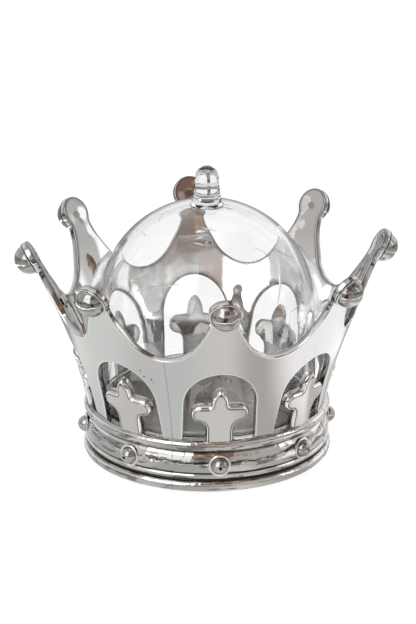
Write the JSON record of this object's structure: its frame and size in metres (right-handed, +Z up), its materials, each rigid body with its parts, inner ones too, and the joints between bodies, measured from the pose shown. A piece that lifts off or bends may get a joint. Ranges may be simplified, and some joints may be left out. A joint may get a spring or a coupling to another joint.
{
  "type": "table crown",
  "caption": "Plated table crown with pointed wall, arches and ringed base, and a clear bell-jar lid that lifts off by its knob.",
  "frame": {"origin": "centre of the ring base's underside", "axes": "+Z up along the crown's axis; one point, arch and bead face -Y"},
  "size_m": [0.0886, 0.0886, 0.069],
  "materials": {
    "plated": "bright vacuum-plated plastic, mirror-like, with faint moulding flow and small marks",
    "plated_floor": "plated plastic, a little duller than the shell",
    "clear": "clear polystyrene, glossy, with light rub marks"
  },
  "bodies": {
    "crown": {"crown_shell": "plated", "floor_plate": "plated_floor", "tip_ball_1": "plated", "tip_ball_2": "plated", "tip_ball_3": "plated", "tip_ball_4": "plated", "tip_ball_5": "plated", "tip_ball_6": "plated", "tip_ball_7": "plated", "tip_ball_8": "plated", "band_bead_1": "plated", "band_bead_2": "plated", "band_bead_3": "plated", "band_bead_4": "plated", "band_bead_5": "plated", "band_bead_6": "plated", "band_bead_7": "plated", "band_bead_8": "plated"},
    "dome": {"dome_lid": "clear", "dome_knob": "clear"}
  },
  "joints": [
    {"name": "dome_lift", "type": "slide", "parent": "crown", "child": "dome", "axis": [0, 0, 1], "range_m": [0, 0.06]}
  ]
}
